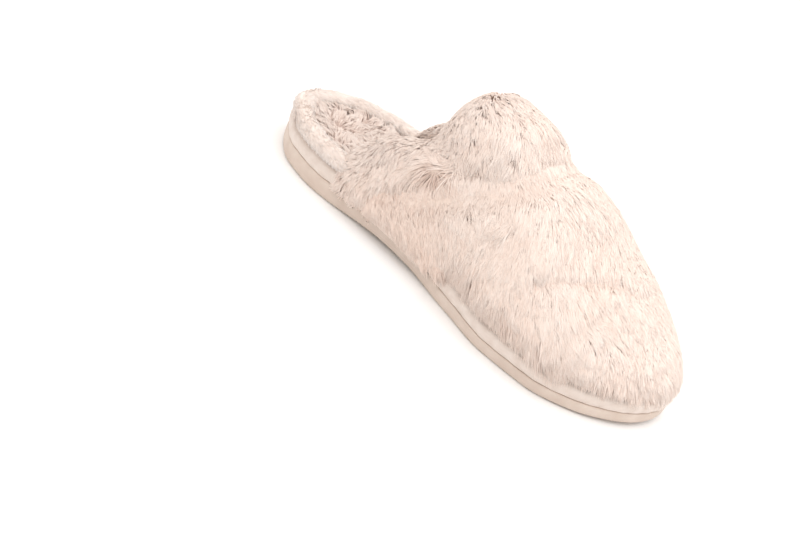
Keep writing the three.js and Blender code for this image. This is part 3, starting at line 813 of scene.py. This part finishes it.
rim_base = rim_grid(RIM_CLOTH_SHARE)
rim = add_mesh(
    "heel_rim_roll", rim_base.reshape(-1, 3), grid_corners(*rim_base.shape[:2]), rim_cloth)
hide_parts("heel_rim")

# The lining closes the upper's wall: its own face inside, and one just under the fur's skin
LINING_OUTER = -0.2
turns = np.linspace(0, 1, 65)
steps_along = np.linspace(0, 1, 41)[:, None]
lining_angle = lerp(angle_at(topline_x(turns) / SOLE_LENGTH)[None, :], np.pi, steps_along)
lining_inner = off_shell(lining_angle, turns[None, :], np.array(-UPPER_WALL))
lining_outer = off_shell(lining_angle, turns[None, :], np.array(LINING_OUTER))
lining_points = np.concatenate([lining_inner, lining_outer[::-1]], axis=0)
lining = add_mesh(
    "upper_lining", lining_points.reshape(-1, 3), grid_corners(*lining_points.shape[:2]), lining_material)
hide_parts("upper")

# The hem: rows that hang over the sole's side, how much of the platform they cover, the fur's depth
# there, how soon a hang takes full effect, and the height of the band above it that blends in
HANG_ROWS = 4
HANG_COVER = 0.95
HANG_FUR = 2.7
HANG_GAIN = 4
HEM_BAND = 0.14
# The cloth below the vamp's fur: share of the pile, and how far it runs back under the cuff
VAMP_SKIN = 0.76
VAMP_UNDER_CUFF = 9
# How far the tips may pass below the outsole's upper edge
FUR_OVERHANG = 2
vamp_turns = np.linspace(0, 1, 145)
vamp_rows = np.linspace(0, 1, 141)[:, None]
vamp_start = angle_at((cuff_front_x(vamp_turns) - VAMP_UNDER_CUFF) / SOLE_LENGTH)
vamp_angle = lerp(vamp_start[None, :], np.pi, vamp_rows)


def hanging_columns(angle, side, offset):
    """Columns from the hem down to where the fur hangs over the sole's side."""
    hang = hang_at(angle)
    depth = np.minimum(offset, HANG_DEPTH - FRINGE / 2)
    end = lerp(offset, depth, np.minimum(1, HANG_GAIN * hang))
    columns = []
    for k in range(1, HANG_ROWS + 1):
        share = k / HANG_ROWS
        point = inset_point(angle, np.array(side), HEM_INSET - lerp(offset, end, share))
        z = seat_at(point[:, 0]) - share * HANG_COVER * MIDSOLE_HEIGHT * hang
        columns.append(np.column_stack([point, z]))
    return columns


def with_hems(grid, angles, offsets):
    """A shell grid with its hanging hems added on both sides."""
    outer = hanging_columns(angles[:, 0], 1, offsets[:, 0])[::-1]
    inner = hanging_columns(angles[:, -1], -1, offsets[:, -1])
    return np.concatenate([np.stack(outer, axis=1), grid, np.stack(inner, axis=1)], axis=1)


def widen(grid):
    """A grid's first and last columns repeated for the hanging hems."""
    first = np.repeat(grid[:, :1], HANG_ROWS, axis=1)
    last = np.repeat(grid[:, -1:], HANG_ROWS, axis=1)
    return np.concatenate([first, grid, last], axis=1)


def lengthen(rows):
    """A grid's first and last rows repeated for the hanging hems."""
    return np.concatenate([np.repeat(rows[:1], HANG_ROWS, 0), rows, np.repeat(rows[-1:], HANG_ROWS, 0)])


vamp_offset = vamp_pile(vamp_angle, vamp_turns[None, :])
vamp_top = with_hems(off_shell(vamp_angle, vamp_turns[None, :], vamp_offset), vamp_angle, vamp_offset)
vamp_hang = np.minimum(1, HANG_GAIN * hang_at(vamp_angle))
hem_share = vamp_hang * (1 - ease(from_hem(vamp_turns), 0, HEM_BAND))
vamp_skin = lerp(vamp_offset * VAMP_SKIN, HANG_DEPTH - HANG_FUR, hem_share)
vamp_base = with_hems(off_shell(vamp_angle, vamp_turns[None, :], vamp_skin), vamp_angle, vamp_skin)
vamp_normal = unit(widen(shell_normal(vamp_angle, np.broadcast_to(vamp_turns, vamp_angle.shape))))
vamp_depth = np.linalg.norm(vamp_top - vamp_base, axis=-1)

vamp_mesh = vamp_base[::2, ::2]
vamp = add_mesh(
    "vamp_under_fur", vamp_mesh.reshape(-1, 3), grid_corners(*vamp_mesh.shape[:2]), under_fur_painted_shade)
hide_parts("vamp_fur")

# Creases of the fur, as lines over the upper between two places, each a share of the sole's length
# and a turn
VAMP_CREASES = [
    # start share, start turn, end share, end turn, half width, depth
    (0.7, 0.78, 0.8, 0.48, 3.2, 0.62),
]
CREASE_STEPS = 40


def crease_field(points, lines):
    field = np.zeros(points.shape[:-1])
    for start_share, start_turn, end_share, end_turn, half, depth in lines:
        t = np.linspace(0, 1, CREASE_STEPS)
        angle = angle_at(lerp(start_share, end_share, t))
        turn = lerp(start_turn, end_turn, t)
        line = off_shell(angle, turn, vamp_pile(angle, turn))
        gap = np.min(np.linalg.norm(points[..., None, :] - line, axis=-1), axis=-1)
        field = np.maximum(field, depth * np.exp(-(gap / half) ** 2))
    return field


# Whorls, where the fur parts on each side of the cuff's high lobe: share of the length and turn
WHORLS = np.array([(0.42, 0.85), (0.42, 0.13)])
WHORL_HEIGHT = 0.7
whorls = off_shell(angle_at(WHORLS[:, 0]), WHORLS[:, 1], np.full(len(WHORLS), WHORL_HEIGHT * CUFF_PILE))
# A whorl's uneven middle, its push outward and its turn round, with how far each reaches
WHORL_JITTER = 3.2
JITTER_SIZE = 7
WHORL_PUSH = 0.85
PUSH_REACH = 18
WHORL_TURN = 0.8
TURN_REACH = 12
# How much the lay waves, and the sizes of its waves
LAY_WAVE = 0.27
LAY_SIZES = (52, 46, 40)
# The ridge's place across the shoe, and how far from it the fur lies fully sideways
RIDGE_Y = -6
SIDE_REACH = 40
FAR_AWAY = 1e3


def flow(points, normal, backward, seed):
    """The way the fur lies: forward and down on the vamp, back and down behind the whorls."""
    side = np.clip((points[..., 1] - RIDGE_Y) / SIDE_REACH, -1, 1)
    forth = np.stack([np.full(side.shape, 0.85), 0.3 * side, -0.7 - 0.5 * np.abs(side)], axis=-1)
    back = np.stack([-0.7 + 0.45 * np.abs(side), 0.25 * side, -0.25 - np.abs(side)], axis=-1)
    lay = lerp(forth, back, backward[..., None])
    gap = np.full(side.shape, FAR_AWAY)
    jitter = np.stack([wave(points, JITTER_SIZE, seed + k) for k in (4, 5, 6)], axis=-1)
    for whorl in whorls:
        away = points - whorl + WHORL_JITTER * jitter
        reach = np.linalg.norm(away, axis=-1)
        away = unit(away)
        lay += WHORL_PUSH * away * np.exp(-(reach / PUSH_REACH) ** 2)[..., None]
        lay += WHORL_TURN * np.cross(normal, away) * np.exp(-(reach / TURN_REACH) ** 2)[..., None]
        gap = np.minimum(gap, reach)
    waves = [wave(points, size, seed + k) for k, size in enumerate(LAY_SIZES)]
    return lay + LAY_WAVE * np.stack(waves, axis=-1), gap


def fur_floor(tips):
    """The long fur ends just past the outsole's upper edge."""
    return outsole_top(tips[:, 0]) - FUR_OVERHANG


def ground_floor(tips):
    return np.zeros(len(tips))


def seat_floor(tips):
    return seat_at(tips[:, 0])


# Where the vamp's fur lies back as the cuff's does: how much, how far ahead of the cuff, and how high
# up the sides, from the hem (0) to the ridge (1)
BACK_SHARE = 0.5
BACK_LENGTH = 14
LOW_SIDES = (0.3, 0.7)
# Painted shade in a whorl on the vamp: share of the tone, half width; and the dimple of a whorl on the cuff,
# which also paints shade in it: share of the pile, half width
VAMP_WHORL_SHADE = 0.45
VAMP_WHORL_SHADE_SIZE = 9
CUFF_DIP_AND_SHADE = 0.25
CUFF_DIP_SIZE = 7
# Painted shade on the fur at the free hem, low on the sides and in the crease, and how high up the first two
# go
HEM_SHADE = 0.4
HEM_SHADE_END = 0.07
LOW_SHADE = 0.45
LOW_SHADE_ENDS = (0.02, 0.4)
CREASE_SHADE = 0.95
# Fur length: as a rule, its waves, how much shorter it gets over the toe and between which places,
# and the shares trimmed at the hanging hem and at the toe's hem
VAMP_LENGTH = 13.5
VAMP_LENGTH_WAVE = 2.5
TOE_SHORTER = 4.5
TOE_SHORTER_X = (205, 245)
HANG_TRIM = 0.4
HANG_TRIM_END = 0.06
TOE_TRIM = 0.45

vamp_crease = crease_field(vamp_top, VAMP_CREASES)
vamp_hem = from_hem(vamp_turns)
vamp_ahead = SOLE_LENGTH * share_at(vamp_angle) - cuff_front_x(vamp_turns)
vamp_behind = BACK_SHARE * (1 - ease(vamp_ahead, 0, BACK_LENGTH))
vamp_behind = widen(vamp_behind * (1 - ease(vamp_hem, *LOW_SIDES)))
vamp_lay, vamp_gap = flow(vamp_top, vamp_normal, vamp_behind, 11)
# Painted shade where the vamp's fur parts at a whorl
vamp_whorl_shade = VAMP_WHORL_SHADE * np.exp(-(vamp_gap / VAMP_WHORL_SHADE_SIZE) ** 2)
vamp_hem_shade = HEM_SHADE * widen((1 - ease(vamp_hem, 0, HEM_SHADE_END)) * (1 - hang_at(vamp_angle)))
vamp_low_shade = LOW_SHADE * widen((1 - ease(vamp_hem, *LOW_SHADE_ENDS)) * np.ones(vamp_angle.shape))
vamp_hem_trim = 1 - HANG_TRIM * widen((1 - ease(vamp_hem, 0, HANG_TRIM_END)) * vamp_hang)
vamp_toe_trim = 1 - TOE_TRIM * widen((1 - ease(vamp_hem, 0, HEM_BAND)) * (1 - vamp_hang))
vamp_length = VAMP_LENGTH + VAMP_LENGTH_WAVE * wave(vamp_top, 40, 14)
vamp_length = vamp_length - TOE_SHORTER * ease(vamp_top[..., 0], *TOE_SHORTER_X)
# The vamp's tone: a random spread, less painted shade in the crease, at the free hem, low on the sides and
# in the whorls
vamp_tone = 0.6 + 0.1 * wave(vamp_top, 35, 15) - CREASE_SHADE * vamp_crease
grow({
    "base": vamp_base,
    "depth": vamp_depth * (1 - vamp_crease),
    "normal": vamp_normal,
    "lay": vamp_lay,
    "length": vamp_hem_trim * vamp_toe_trim * vamp_length,
    "density": np.ones(vamp_depth.shape),
    "tone": vamp_tone - vamp_hem_shade - vamp_low_shade - vamp_whorl_shade,
    "count": 90000,
    "seed": 21,
    "width": 0.46,
    "clump": 2.6,
    "lock": 9,
    "per_clump": 13,
    "lock_turn": 0.18,
    "clump_turn": 0.13,
    "pull": 0.34,
    "curve": 1 / 75,
    "stray": 0.1,
    "joints": [(0, 0), (0.42, 0.94), (1, 1)],
    "floor": fur_floor,
}, "vamp_fur_strands", fur_material, pieces=3)

# The cuff's skin: points along it and turns round the shoe, and how deep its fur is behind, in front
# and inside
CUFF_POINTS = 44
CUFF_TURNS = 121
CUFF_DEEP = 2.6
CUFF_FRONT_DEEP = 5
CUFF_INNER_DEEP = 3.2
CUFF_DEEP_BAND = (0.55, 0.95)
# How far up the sides its pile is full, how far its hems stay above the seat, and a place on its crown
CUFF_HEM_RISE = 0.2
SEAT_CLEARANCE = 0.5
CUFF_CROWN = (60, 10)
# Fur length at its back edge, what it gains over the body and at the front edge, its waves, and its
# length inside
CUFF_LENGTH = 9.5
CUFF_BODY_GAIN = 3.5
CUFF_BODY_BAND = (0.1, 0.6)
CUFF_FRONT_GAIN = 3
CUFF_FRONT_BAND = (0.6, 0.95)
CUFF_LENGTH_WAVE = 1.5
CUFF_INNER_LENGTH = 7.0
# Density of its fur inside and at the top, and droop at its back edge, over its body and in front
CUFF_INNER_DENSITY = 0.45
CUFF_TOP_DENSITY = 1.5
CUFF_DROOPS = (1 / 26, 1 / 50, 1 / 28)


def cuff_curve(turn):
    """The cuff's skin over the topline: along the shoe from the topline, and off the upper's face."""
    hem = from_hem(turn)
    body = cuff_body(hem)
    reach = CUFF_REACH * cuff_front(hem)
    pile = lerp(HANG_DEPTH, CUFF_PILE * body, ease(hem, 0, CUFF_HEM_RISE))
    back = CUFF_BACK * body
    inner = -UPPER_WALL - CUFF_INSIDE
    corners = np.array([
        (reach + 1, 0.6 * pile),
        (0.95 * reach, 0.72 * pile),
        (0.8 * reach, 0.87 * pile),
        (0.5 * reach, pile),
        (0.12 * reach, 0.93 * pile),
        (-0.5 * back, 0.66 * pile),
        (-0.9 * back, 0.25 * pile),
        (-0.98 * back, -0.5 * UPPER_WALL),
        (-0.6 * back, 0.9 * inner),
        (0, inner),
        (CUFF_TURN_IN, inner),
    ])
    run = np.concatenate([[0], np.cumsum(np.linalg.norm(np.diff(corners, axis=0), axis=1))])
    places = np.linspace(0, run[-1], CUFF_POINTS)
    return smooth(run, corners[:, 0])(places), smooth(run, corners[:, 1])(places)


cuff_turns = np.linspace(0, 1, CUFF_TURNS)
cuff_curves = [cuff_curve(turn) for turn in cuff_turns]
cuff_along = np.array([along for along, _ in cuff_curves])
cuff_offset = np.array([offset for _, offset in cuff_curves])
cuff_angle = angle_at(np.maximum(topline_x(cuff_turns)[:, None] + cuff_along, 1) / SOLE_LENGTH)
cuff_body_grid = off_shell(cuff_angle, cuff_turns[:, None], cuff_offset)
outer_hem = np.stack(hanging_columns(cuff_angle[0], 1, cuff_offset[0])[::-1])
inner_hem = np.stack(hanging_columns(cuff_angle[-1], -1, cuff_offset[-1]))
inside = cuff_offset < -UPPER_WALL / 2
# Inside the shoe the hems stay above the seat
for hem, turn_row in ((outer_hem, 0), (inner_hem, -1)):
    level = np.maximum(hem[..., 2], seat_at(hem[..., 0]) + SEAT_CLEARANCE)
    hem[..., 2] = np.where(inside[turn_row][None, :], level, hem[..., 2])
cuff_top = np.concatenate([outer_hem, cuff_body_grid, inner_hem])
cuff_normal = outward_normals(cuff_top, *CUFF_CROWN)
along_share = cuff_along / (CUFF_REACH * cuff_front(from_hem(cuff_turns)))[:, None]
along_share = lengthen(along_share)
cuff_pile_depth = lerp(CUFF_DEEP, CUFF_FRONT_DEEP, ease(along_share, *CUFF_DEEP_BAND))
cuff_inside = lengthen(inside)
hem_rows = lengthen(1 - ease(from_hem(cuff_turns), 0, HEM_BAND))[:, None]
cuff_fur_depth = lerp(cuff_pile_depth, HANG_FUR, hem_rows)
cuff_fur_depth = np.where(cuff_inside, CUFF_INNER_DEEP, cuff_fur_depth)
cuff_base = cuff_top - cuff_normal * cuff_fur_depth[..., None]
cuff = add_mesh(
    "cuff_under_fur", cuff_base.reshape(-1, 3), grid_corners(*cuff_base.shape[:2], flip=True), under_fur_painted_shade)
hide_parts("collar_cuff")

low_side = lengthen(1 - ease(from_hem(cuff_turns), *LOW_SIDES))[:, None]
backward = lerp(1 - ease(along_share, -0.5, 0.02), lerp(1, 0.5, ease(along_share, 0.3, 1)), low_side)
cuff_lay, whorl_gap = flow(cuff_top, cuff_normal, backward, 31)
# The cuff's whorl dimple, which also paints shade into its tone
cuff_dip_and_shade = CUFF_DIP_AND_SHADE * np.exp(-(whorl_gap / CUFF_DIP_SIZE) ** 2)
cuff_length = CUFF_LENGTH + CUFF_BODY_GAIN * ease(along_share, *CUFF_BODY_BAND)
cuff_length = cuff_length + CUFF_FRONT_GAIN * ease(along_share, *CUFF_FRONT_BAND)
cuff_length = cuff_length + CUFF_LENGTH_WAVE * wave(cuff_top, 30, 34)
cuff_droop = lerp(CUFF_DROOPS[0], CUFF_DROOPS[1], ease(along_share, 0.05, 0.5))
cuff_droop = lerp(cuff_droop, CUFF_DROOPS[2], ease(along_share, *CUFF_FRONT_BAND))
grow({
    "base": cuff_base,
    "depth": cuff_fur_depth * (1 - cuff_dip_and_shade),
    "normal": cuff_normal,
    "lay": cuff_lay,
    "length": np.where(cuff_inside, CUFF_INNER_LENGTH, cuff_length),
    "density": np.where(cuff_inside, CUFF_INNER_DENSITY, lerp(CUFF_TOP_DENSITY, 1, low_side)),
    # Tone: a random spread, less painted shade in the whorl's dimple
    "tone": 0.6 + 0.1 * wave(cuff_top, 26, 35) - 2 * cuff_dip_and_shade,
    "count": 32000,
    "seed": 41,
    "width": 0.45,
    "clump": 2.5,
    "lock": 8,
    "per_clump": 12,
    "lock_turn": 0.2,
    "clump_turn": 0.14,
    "pull": 0.2,
    "curve": cuff_droop,
    "stray": 0.12,
    "joints": [(0, 0), (0.42, 0.94), (1, 1.03)],
    "floor": fur_floor,
}, "cuff_fur_strands", fur_material)

# The footbed's fur reaches from the heel to the toe box, a little in from the pad's edge
BED_MARGIN = 0.5
BED_ENDS = (0.08, np.pi - 0.25)
bed_angles = np.linspace(*BED_ENDS, 121)
bed_across = np.linspace(0, 1, 41)
bed_left = inset_point(bed_angles, np.array(1), np.array(footbed_inset + BED_MARGIN))
bed_right = inset_point(bed_angles, np.array(-1), np.array(footbed_inset + BED_MARGIN))
bed = lerp(bed_left[:, None, :], bed_right[:, None, :], bed_across[None, :, None])
bed_height = pad_top(bed[..., 0]) + dish(bed_angles[:, None], 1 - np.abs(1 - 2 * bed_across))
bed = np.concatenate([bed, bed_height[..., None]], axis=-1)
bed_up = np.zeros_like(bed)
bed_up[..., 2] = 1
bed_swirl = wave(bed, 30, 51)
bed_lay = np.stack([-0.6 + 0.9 * wave(bed, 34, 52), 0.9 * bed_swirl, np.zeros(bed_swirl.shape)], axis=-1)
grow({
    "base": bed,
    "depth": np.full(bed_swirl.shape, 3.6) + 0.7 * wave(bed, 16, 53),
    "normal": bed_up,
    "lay": bed_lay,
    "length": np.full(bed_swirl.shape, 6.5),
    "density": lerp(1.0, 0.25, ease(bed[..., 0], 105, 135)),
    "tone": 0.38 + 0.16 * wave(bed, 14, 54),
    "count": 14000,
    "seed": 55,
    "width": 0.42,
    "clump": 2.6,
    "lock": 8,
    "per_clump": 14,
    "lock_turn": 0.5,
    "clump_turn": 0.45,
    "pull": 0.55,
    "curve": 0,
    "stray": 0.05,
    "joints": [(0, 0), (0.45, 0.8), (1, 1)],
    "floor": ground_floor,
}, "footbed_fur_strands", footbed_material)

rim_top = rim_grid(1.0)
rim_normal = outward_normals(rim_top, *RIM_CROWN)
rim_lay = [0.3 * np.ones(rim_top.shape[:2]), 0.3 * wave(rim_top, 25, 61), -0.5 + 0.4 * wave(rim_top, 20, 62)]
grow({
    "base": rim_base,
    "depth": 0.9 + 0.2 * wave(rim_top, 9, 65),
    "normal": rim_normal,
    "lay": np.stack(rim_lay, axis=-1),
    "length": 2.5 + 0.3 * wave(rim_top, 14, 66),
    "density": np.ones(rim_top.shape[:2]),
    "tone": 0.62 + 0.1 * wave(rim_top, 12, 63),
    "count": 22000,
    "seed": 64,
    "width": 0.24,
    "clump": 1.4,
    "lock": 6,
    "per_clump": 9,
    "lock_turn": 0.15,
    "clump_turn": 0.15,
    "pull": 0.3,
    "curve": 0,
    "stray": 0.05,
    "joints": [(0, 0), (1, 1)],
    "floor": ground_floor,
}, "rim_plush_strands", plush_material)

inner_normal = -unit(shell_normal(lining_angle, np.broadcast_to(turns, lining_angle.shape)))
inner_waves = [0.4 * wave(lining_inner, 30, seed) for seed in (71, 72)]
grow({
    "base": lining_inner,
    "depth": np.full(lining_angle.shape, 2.6),
    "normal": inner_normal,
    "lay": np.stack([np.full(lining_angle.shape, 0.8), *inner_waves], axis=-1),
    "length": np.full(lining_angle.shape, 6.0),
    "density": lerp(1.0, 0.3, ease(lining_inner[..., 0], 110, 190)),
    "tone": 0.42 + 0.1 * wave(lining_inner, 15, 73),
    "count": 12000,
    "seed": 74,
    "width": 0.5,
    "clump": 3,
    "lock": 9,
    "per_clump": 12,
    "lock_turn": 0.3,
    "clump_turn": 0.3,
    "pull": 0.46,
    "curve": 0,
    "stray": 0.02,
    "joints": [(0, 0), (1, 1)],
    "floor": seat_floor,
}, "lining_fur_strands", footbed_material)

# White paper below the shoe, in metres
FLOOR_HALF = 5
FLOOR_DROP = 0.0002
floor_corners = [(-1, -1), (1, -1), (1, 1), (-1, 1)]
floor_mesh = bpy.data.meshes.new("floor")
floor_mesh.from_pydata(
    [(x * FLOOR_HALF, y * FLOOR_HALF, -FLOOR_DROP) for x, y in floor_corners], [], [(0, 1, 2, 3)])
floor_material, _, floor_shader = new_material("floor_paper", 0.9)
floor_shader.inputs["Base Color"].default_value = linear("FFFFFF")
floor_mesh.materials.append(floor_material)
floor = bpy.data.objects.new("floor", floor_mesh)
bpy.context.scene.collection.objects.link(floor)

# Light from all around, and two softboxes: places and sizes in metres, powers in watts
WORLD_COLOUR = (1, 0.975, 0.95, 1)
WORLD_STRENGTH = 0.92
KEY_PLACE = (0.3, 0.15, 1.6)
KEY_POWER = 21
KEY_SIZE = 2.2
FILL_PLACE = (-0.9, -1.1, 0.9)
FILL_POWER = 1
FILL_SIZE = 1.4
LIT_POINT = np.array([0, 0, 0.03])
world = bpy.data.worlds.new("studio")
world.use_nodes = True
world.node_tree.nodes["Background"].inputs["Color"].default_value = WORLD_COLOUR
world.node_tree.nodes["Background"].inputs["Strength"].default_value = WORLD_STRENGTH
bpy.context.scene.world = world


def softbox(name, place, power, size):
    data = bpy.data.lights.new(name, "AREA")
    data.energy = power
    data.size = size
    light = bpy.data.objects.new(name, data)
    aim = LIT_POINT - np.array(place)
    back = -aim / np.linalg.norm(aim)
    side = unit(np.cross([0, 0, 1], back))
    up = np.cross(back, side)
    axes = Matrix([[side[i], up[i], back[i], place[i]] for i in range(3)] + [[0, 0, 0, 1]])
    light.matrix_world = axes
    bpy.context.scene.collection.objects.link(light)


softbox("key", KEY_PLACE, KEY_POWER, KEY_SIZE)
softbox("fill", FILL_PLACE, FILL_POWER, FILL_SIZE)

camera_data = bpy.data.cameras.new("photo_camera")
camera_data.lens = CAMERA_LENS
camera_data.sensor_width = SENSOR_WIDTH
camera_data.sensor_fit = "HORIZONTAL"
camera = bpy.data.objects.new("photo_camera", camera_data)
axes = [[CAMERA_RIGHT[i], -CAMERA_DOWN[i], -CAMERA_FORWARD[i], CAMERA_PLACE[i]] for i in range(3)]
camera.matrix_world = Matrix(axes + [[0, 0, 0, 1]])
bpy.context.scene.collection.objects.link(camera)
bpy.context.scene.camera = camera
bpy.context.scene.view_settings.view_transform = "Standard"
